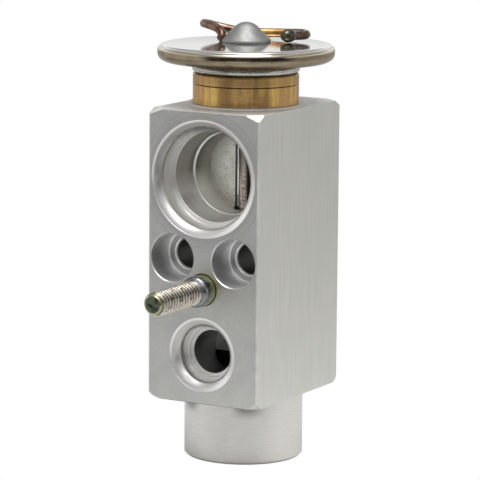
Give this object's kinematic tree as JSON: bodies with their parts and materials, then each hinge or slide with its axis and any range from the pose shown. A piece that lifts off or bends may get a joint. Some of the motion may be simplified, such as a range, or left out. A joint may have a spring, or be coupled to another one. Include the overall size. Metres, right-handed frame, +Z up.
{
  "type": "thermostatic expansion valve",
  "caption": "Block-type thermostatic expansion valve for car air conditioning: machined aluminium block, round power head, ports front and back, plate stud, adjuster below.",
  "frame": {"origin": "the point of the port face midway between the two bolt holes", "axes": "-Y out of the port face (the pipe side), +Y towards the evaporator, +Z up the valve axis to the power head, X across the block"},
  "size_m": [0.0462, 0.0695, 0.1145],
  "materials": {
    "machined_aluminium": "satin, as machined and extruded",
    "zinc_stud": "yellow iridescent zinc plating",
    "collar_brass": "turned brass with brown tarnish",
    "inner_brass": "turned",
    "head_steel": "bright pressed stainless steel",
    "satin_steel": "satin",
    "tube_copper": "copper, heat-browned",
    "rod_metal": "drawn rod, dull",
    "seal_rubber": "matt"
  },
  "bodies": {
    "valve": {"valve_body": "machined_aluminium", "mounting_stud": "zinc_stud", "threaded_collar": "collar_brass", "collar_oring": "seal_rubber", "neck_ring": "satin_steel", "lower_shell": "head_steel", "diaphragm": "head_steel", "upper_shell": "head_steel", "charge_cap": "satin_steel", "charge_tube": "tube_copper", "rod_oring": "seal_rubber", "seal_retainer": "inner_brass", "superheat_spring": "satin_steel"},
    "stem": {"diaphragm_pad": "satin_steel", "sensing_rod": "rod_metal", "push_rod": "satin_steel", "valve_ball": "head_steel", "ball_carrier": "inner_brass"},
    "adjuster_carriage": {"adjuster_oring": "seal_rubber"},
    "adjuster": {"adjusting_nut": "inner_brass"}
  },
  "joints": [
    {"name": "stem_slide", "type": "slide", "parent": "valve", "child": "stem", "axis": [0, 0, -1], "range_m": [0, 0.0008], "stiffness_N_per_m": 500, "springref_m": -0.002, "deforming": ["superheat_spring"]},
    {"name": "adjuster_travel", "type": "slide", "parent": "valve", "child": "adjuster_carriage", "axis": [0, 0, 1], "range_m": [-0.001, 0.001]},
    {"name": "adjuster_turn", "type": "hinge", "parent": "adjuster_carriage", "child": "adjuster", "pos_m": [0, 0.02185, -0.0514], "axis": [0, 0, 1], "range_deg": [-360, 360]}
  ],
  "couplings": [
    {"joint": "adjuster_turn", "follows": "adjuster_travel", "rad_per_m": 6283.2}
  ]
}
